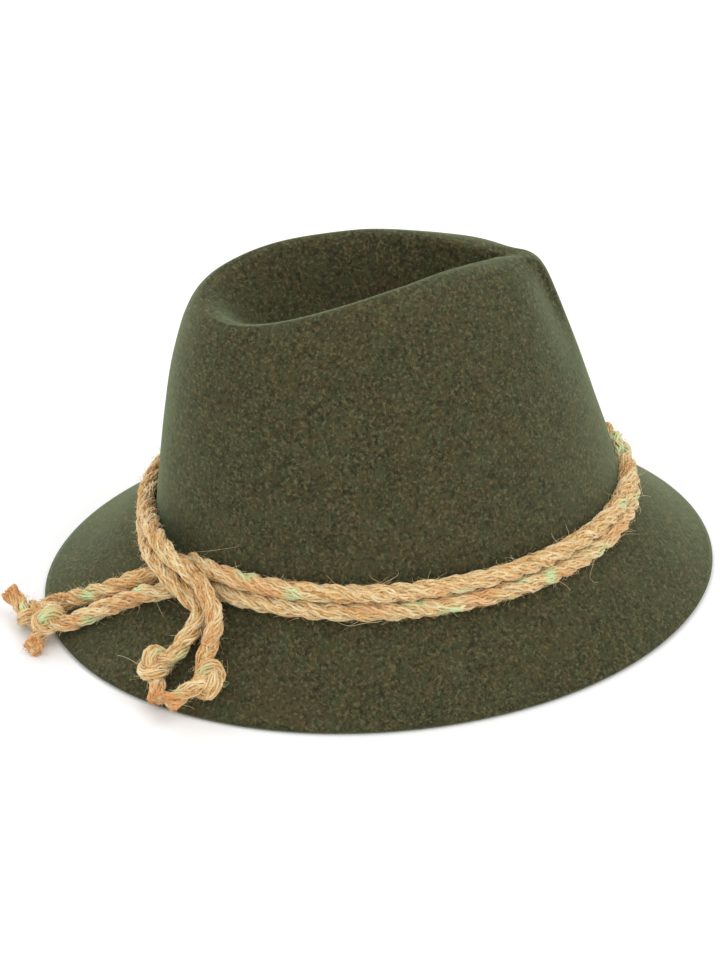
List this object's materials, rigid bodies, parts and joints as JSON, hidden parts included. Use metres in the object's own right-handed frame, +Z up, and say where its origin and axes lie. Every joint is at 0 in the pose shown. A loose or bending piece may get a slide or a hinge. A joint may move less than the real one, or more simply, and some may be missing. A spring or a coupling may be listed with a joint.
{
  "type": "tyrolean hat",
  "caption": "Felt hat with a teardrop crown, pinched front and sloping narrow brim, trimmed with twisted cords crossed in a loose knotted tie",
  "frame": {"origin": "middle of the brim's oval, on the level that the brim's edge stands on", "axes": "+Z up, the pinched front faces -Y, the back with the brim's far end faces +Y, and the tie lies at the back near the wearer's right, towards -X"},
  "size_m": [0.248, 0.3061, 0.1486],
  "materials": {
    "felt": "heathered olive wool felt, matt with a short nap",
    "jute": "loosely laid natural jute with green stained plies, matt"
  },
  "bodies": {
    "root": {"felt_hat": "felt", "band_cord_upper": "jute", "band_cord_lower": "jute", "tail_left_upper": "jute", "end_knot_left_upper": "jute", "tail_left_lower": "jute", "end_knot_left_lower": "jute", "tail_down_left": "jute", "end_knot_down_left": "jute", "tail_down_right": "jute", "end_knot_down_right": "jute"}
  },
  "joints": []
}
